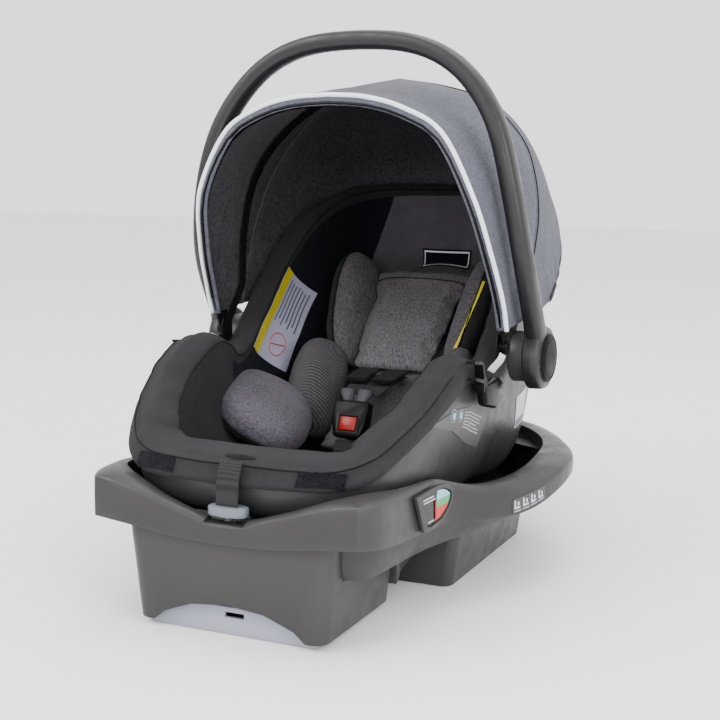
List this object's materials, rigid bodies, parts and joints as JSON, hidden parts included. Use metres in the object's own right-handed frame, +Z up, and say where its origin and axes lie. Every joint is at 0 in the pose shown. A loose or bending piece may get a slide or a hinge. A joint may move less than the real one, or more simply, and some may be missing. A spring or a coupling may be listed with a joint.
{
  "type": "infant car seat",
  "caption": "Infant car seat: a padded carrier with canopy, harness and swinging carry handle on a detachable base with recline foot",
  "frame": {"origin": "bottom centre of the whole object's bounding box, on the surface that the base stands on", "axes": "+Z up, -Y to the foot end that carries the recline foot and button, +Y to the head end, +X to the seat's own left"},
  "size_m": [0.4822, 0.6691, 0.61],
  "materials": {
    "shell_plastic": "moulded plastic, satin",
    "base_plastic": "moulded plastic, fine grain",
    "handle_plastic": "moulded plastic, matte grain",
    "cap_plastic": "satin plastic",
    "black_plastic": "gloss plastic",
    "foot_plastic": "moulded plastic, satin",
    "button_plastic": "moulded plastic, satin",
    "red_plastic": "gloss plastic",
    "dial_paint": "printed plastic",
    "steel": "drawn spring steel",
    "cover_fabric": "smooth woven polyester",
    "insert_fabric": "heathered knit",
    "leg_fabric": "heathered knit",
    "canopy_fabric": "heathered woven fabric",
    "webbing": "woven webbing"
  },
  "bodies": {
    "base": {"base_deck": "base_plastic", "base_front_housing": "base_plastic", "base_rear_housing": "base_plastic", "belt_tunnel": "base_plastic", "level_bezel_right": "base_plastic", "level_bezel_left": "base_plastic", "level_dial_right": "dial_paint", "level_dial_left": "dial_paint", "recline_spring": "steel"},
    "foot": {"recline_foot": "foot_plastic"},
    "recline_button": {"recline_button": "button_plastic"},
    "needle_right": {"level_needle_right": "red_plastic"},
    "needle_left": {"level_needle_left": "red_plastic"},
    "carrier": {"carrier_shell": "shell_plastic", "seat_cover": "cover_fabric", "insert_pad": "insert_fabric", "back_panel": "insert_fabric", "head_bolster_right": "insert_fabric", "head_bolster_left": "insert_fabric", "body_bolster_right": "insert_fabric", "body_bolster_left": "insert_fabric", "leg_bolster_right": "leg_fabric", "leg_bolster_left": "leg_fabric", "harness_strap_right": "webbing", "harness_strap_left": "webbing", "strap_cover_right": "cover_fabric", "strap_cover_left": "cover_fabric", "crotch_strap": "webbing", "adjuster_strap": "webbing", "buckle_body": "black_plastic", "belt_guide_right": "black_plastic", "belt_guide_left": "black_plastic", "canopy_bracket_right": "black_plastic", "canopy_bracket_left": "black_plastic", "canopy_rear_panel": "canopy_fabric", "hub_mount_right": "shell_plastic", "hub_mount_left": "shell_plastic", "lock_gear_right": "black_plastic", "lock_gear_left": "black_plastic"},
    "buckle_button": {"buckle_button": "red_plastic"},
    "tongue_right": {"buckle_tongue_right": "black_plastic"},
    "tongue_left": {"buckle_tongue_left": "black_plastic"},
    "release": {"release_lever": "black_plastic"},
    "handle": {"handle_bar": "handle_plastic", "button_spring_right": "steel", "button_spring_left": "steel"},
    "hub_button_right": {"handle_button_right": "cap_plastic"},
    "hub_button_left": {"handle_button_left": "cap_plastic"},
    "mid_bow": {"canopy_mid_bow": "black_plastic", "canopy_front_panel": "canopy_fabric"},
    "front_bow": {"canopy_front_bow": "black_plastic"}
  },
  "joints": [
    {"name": "carrier_lift", "type": "slide", "parent": "base", "child": "carrier", "axis": [0, 0, 1], "range_m": [0, 0.25]},
    {"name": "handle_swing", "type": "hinge", "parent": "carrier", "child": "handle", "pos_m": [0, 0.0305, 0.2445], "axis": [-1, 0, 0], "range_deg": [0, 95]},
    {"name": "canopy_mid", "type": "hinge", "parent": "carrier", "child": "mid_bow", "pos_m": [0, -0.022, 0.262], "axis": [-1, 0, 0], "range_deg": [0, 27], "deforming": ["canopy_rear_panel", "canopy_front_panel"]},
    {"name": "canopy_fold", "type": "hinge", "parent": "mid_bow", "child": "front_bow", "pos_m": [0, -0.022, 0.262], "axis": [-1, 0, 0], "range_deg": [0, 33]},
    {"name": "hub_button_right_press", "type": "slide", "parent": "handle", "child": "hub_button_right", "axis": [-1, 0, 0], "range_m": [0, 0.0025], "stiffness_N_per_m": 1500, "springref_m": -0.002, "deforming": ["button_spring_right"]},
    {"name": "hub_button_left_press", "type": "slide", "parent": "handle", "child": "hub_button_left", "axis": [1, 0, 0], "range_m": [0, 0.0025], "stiffness_N_per_m": 1500, "springref_m": -0.002, "deforming": ["button_spring_left"]},
    {"name": "recline_foot_swing", "type": "hinge", "parent": "base", "child": "foot", "pos_m": [0, -0.18, 0.016], "axis": [1, 0, 0], "range_deg": [0, 8]},
    {"name": "recline_button_press", "type": "slide", "parent": "base", "child": "recline_button", "axis": [0, 0, -1], "range_m": [0, 0.004], "stiffness_N_per_m": 800, "springref_m": -0.002, "deforming": ["recline_spring"]},
    {"name": "level_needle_right_swing", "type": "hinge", "parent": "base", "child": "needle_right", "pos_m": [0.1714, -0.2002, 0.13], "axis": [1, 0, 0], "range_deg": [-12, 12]},
    {"name": "level_needle_left_swing", "type": "hinge", "parent": "base", "child": "needle_left", "pos_m": [-0.1714, -0.2002, 0.13], "axis": [1, 0, 0], "range_deg": [-12, 12]},
    {"name": "buckle_button_press", "type": "slide", "parent": "carrier", "child": "buckle_button", "axis": [0, 0.9075, -0.42], "range_m": [0, 0.0015], "stiffness_N_per_m": 800, "springref_m": -0.002},
    {"name": "tongue_right_slide", "type": "slide", "parent": "carrier", "child": "tongue_right", "axis": [0, 0.42, 0.9075], "range_m": [0, 0.03]},
    {"name": "tongue_left_slide", "type": "slide", "parent": "carrier", "child": "tongue_left", "axis": [0, 0.42, 0.9075], "range_m": [0, 0.03]},
    {"name": "release_squeeze", "type": "hinge", "parent": "carrier", "child": "release", "pos_m": [0, 0.302, 0.254], "axis": [1, 0, 0], "range_deg": [0, 6], "stiffness_Nm_per_rad": 3, "springref_deg": -5.73}
  ],
  "couplings": [
    {"joint": "canopy_fold", "follows": "canopy_mid", "ratio": 1.2222}
  ]
}
